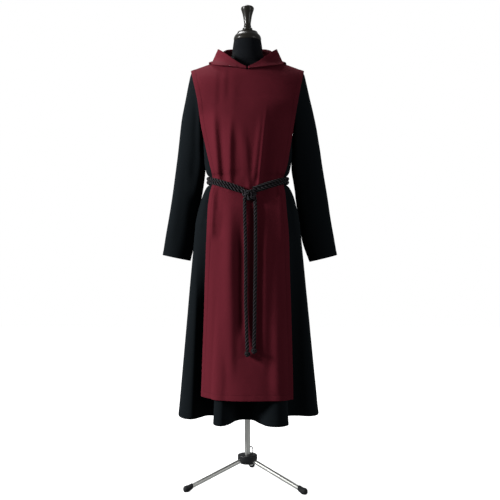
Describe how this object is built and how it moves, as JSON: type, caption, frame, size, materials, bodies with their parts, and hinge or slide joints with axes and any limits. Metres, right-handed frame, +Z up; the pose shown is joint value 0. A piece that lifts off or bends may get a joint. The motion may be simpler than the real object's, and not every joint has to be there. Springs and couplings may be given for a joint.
{
  "type": "monk habit on a dress form",
  "caption": "Black wool tunic with a burgundy hooded scapular and a black rope belt, worn by a limbless dress form on a pole and tripod stand.",
  "frame": {"origin": "on the floor, on the axis of the stand's pole", "axes": "+Z up along the pole, +X to the right of someone facing the front, front towards -Y"},
  "size_m": [0.6325, 0.4834, 1.7086],
  "materials": {
    "tunic": "matt black wool",
    "scapular": "matt burgundy wool",
    "rope": "three-strand black cotton rope",
    "jersey": "smooth black jersey cover",
    "lacquered_wood": "black gloss lacquer",
    "steel": "satin steel tube",
    "black_plastic": "moulded black plastic",
    "rubber": "black rubber"
  },
  "bodies": {
    "root": {"tunic_front": "tunic", "tunic_back": "tunic", "sleeve_left": "tunic", "sleeve_right": "tunic", "scapular_front": "scapular", "scapular_back": "scapular", "hood_left": "scapular", "hood_right": "scapular", "form_torso": "jersey", "neck_cap": "lacquered_wood", "finial": "lacquered_wood", "pole": "steel", "socket": "black_plastic", "hub": "black_plastic", "hub_loop": "black_plastic", "leg_1": "steel", "foot_1": "rubber", "leg_2": "steel", "foot_2": "rubber", "leg_3": "steel", "foot_3": "rubber", "belt_upper": "rope", "belt_lower": "rope", "belt_knot": "rope", "tail_left": "rope", "end_knot_left": "rope", "tail_right": "rope", "end_knot_right": "rope"}
  },
  "joints": []
}
